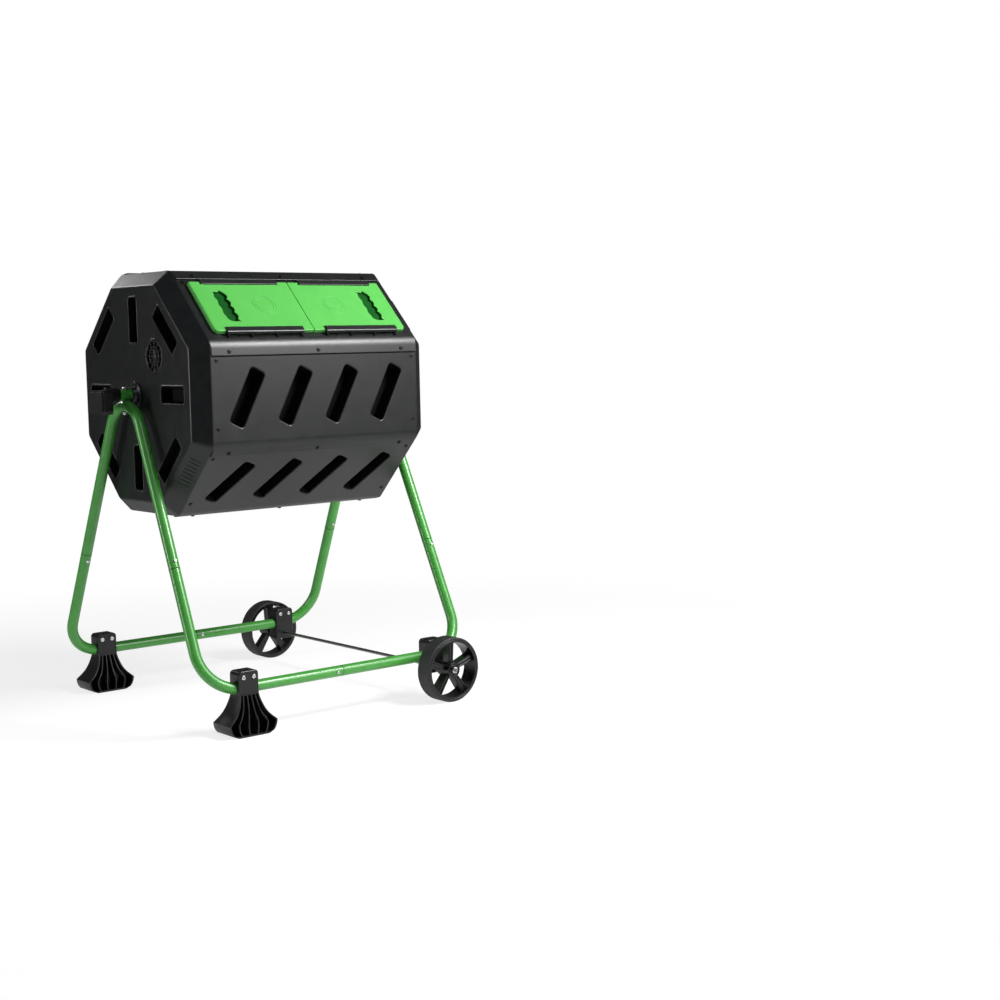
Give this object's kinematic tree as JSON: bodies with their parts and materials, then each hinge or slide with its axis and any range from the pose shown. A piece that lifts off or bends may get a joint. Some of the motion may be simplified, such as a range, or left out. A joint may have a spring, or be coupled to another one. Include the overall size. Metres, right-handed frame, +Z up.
{
  "type": "compost tumbler",
  "caption": "Eight-sided two-chamber compost drum that turns on an axle in a bent-tube frame with feet at one end and wheels at the other.",
  "frame": {"origin": "on the floor, under the middle of the drum", "axes": "+X along the axle towards the wheels, -Y towards the doors, +Z up"},
  "size_m": [0.838, 0.849, 1.0268],
  "materials": {
    "drum_plastic": "moulded black polypropylene with a fine leather grain, satin",
    "end_cap_plastic": "moulded black polypropylene, finely textured",
    "inner_plastic": "plain black polypropylene",
    "hub_plastic": "black acetal, smooth",
    "vent_plastic": "black moulded grille",
    "rail_plastic": "black moulded rail",
    "block_plastic": "black moulded block, satin",
    "foot_plastic": "black moulded nylon, satin",
    "wheel_plastic": "black moulded plastic with a matt tread",
    "door_plastic": "bright green moulded plastic, satin",
    "green_tube": "glossy green powder coat on steel tube",
    "zinc_steel": "bright zinc-plated fasteners",
    "black_screw": "black oxide screws",
    "dark_steel": "dark plain steel rod"
  },
  "bodies": {
    "frame": {"axle_tube": "green_tube", "axle_block_left": "block_plastic", "axle_block_right": "block_plastic", "leg_tube_left": "green_tube", "leg_tube_right": "green_tube", "corner_front_left": "green_tube", "corner_rear_left": "green_tube", "corner_front_right": "green_tube", "corner_rear_right": "green_tube", "axle_bolts": "zinc_steel", "axle_nuts": "zinc_steel", "tube_bolts": "zinc_steel", "foot_front": "foot_plastic", "foot_rear": "foot_plastic", "foot_bolts": "zinc_steel", "wheel_bracket_front": "foot_plastic", "wheel_bracket_rear": "foot_plastic", "bracket_bolts": "zinc_steel", "wheel_rod": "dark_steel", "wheel_nuts": "zinc_steel"},
    "drum": {"end_cap_left": "end_cap_plastic", "end_cap_right": "end_cap_plastic", "panel_top": "drum_plastic", "panel_door": "drum_plastic", "panel_front": "drum_plastic", "panel_lower_front": "drum_plastic", "panel_bottom": "drum_plastic", "panel_lower_rear": "drum_plastic", "panel_rear": "drum_plastic", "panel_upper_rear": "drum_plastic", "divider": "inner_plastic", "hub_left": "hub_plastic", "hub_right": "hub_plastic", "vent_left": "vent_plastic", "vent_right": "vent_plastic", "rail_upper": "rail_plastic", "rail_lower": "rail_plastic", "panel_screws": "black_screw", "rail_screws": "black_screw"},
    "door_left": {"door_left": "door_plastic"},
    "door_right": {"door_right": "door_plastic"},
    "wheel_front": {"wheel_front": "wheel_plastic"},
    "wheel_rear": {"wheel_rear": "wheel_plastic"}
  },
  "joints": [
    {"name": "drum_spin", "type": "hinge", "parent": "frame", "child": "drum", "pos_m": [0, 0, 0.745], "axis": [-1, 0, 0], "continuous": true},
    {"name": "door_left_slide", "type": "slide", "parent": "drum", "child": "door_left", "axis": [1, 0, 0], "range_m": [-0.205, 0]},
    {"name": "door_right_slide", "type": "slide", "parent": "drum", "child": "door_right", "axis": [-1, 0, 0], "range_m": [-0.205, 0]},
    {"name": "wheel_front_spin", "type": "hinge", "parent": "frame", "child": "wheel_front", "pos_m": [0.266, -0.394, 0.077], "axis": [0, 1, 0], "continuous": true},
    {"name": "wheel_rear_spin", "type": "hinge", "parent": "frame", "child": "wheel_rear", "pos_m": [0.266, 0.394, 0.077], "axis": [0, 1, 0], "continuous": true}
  ]
}
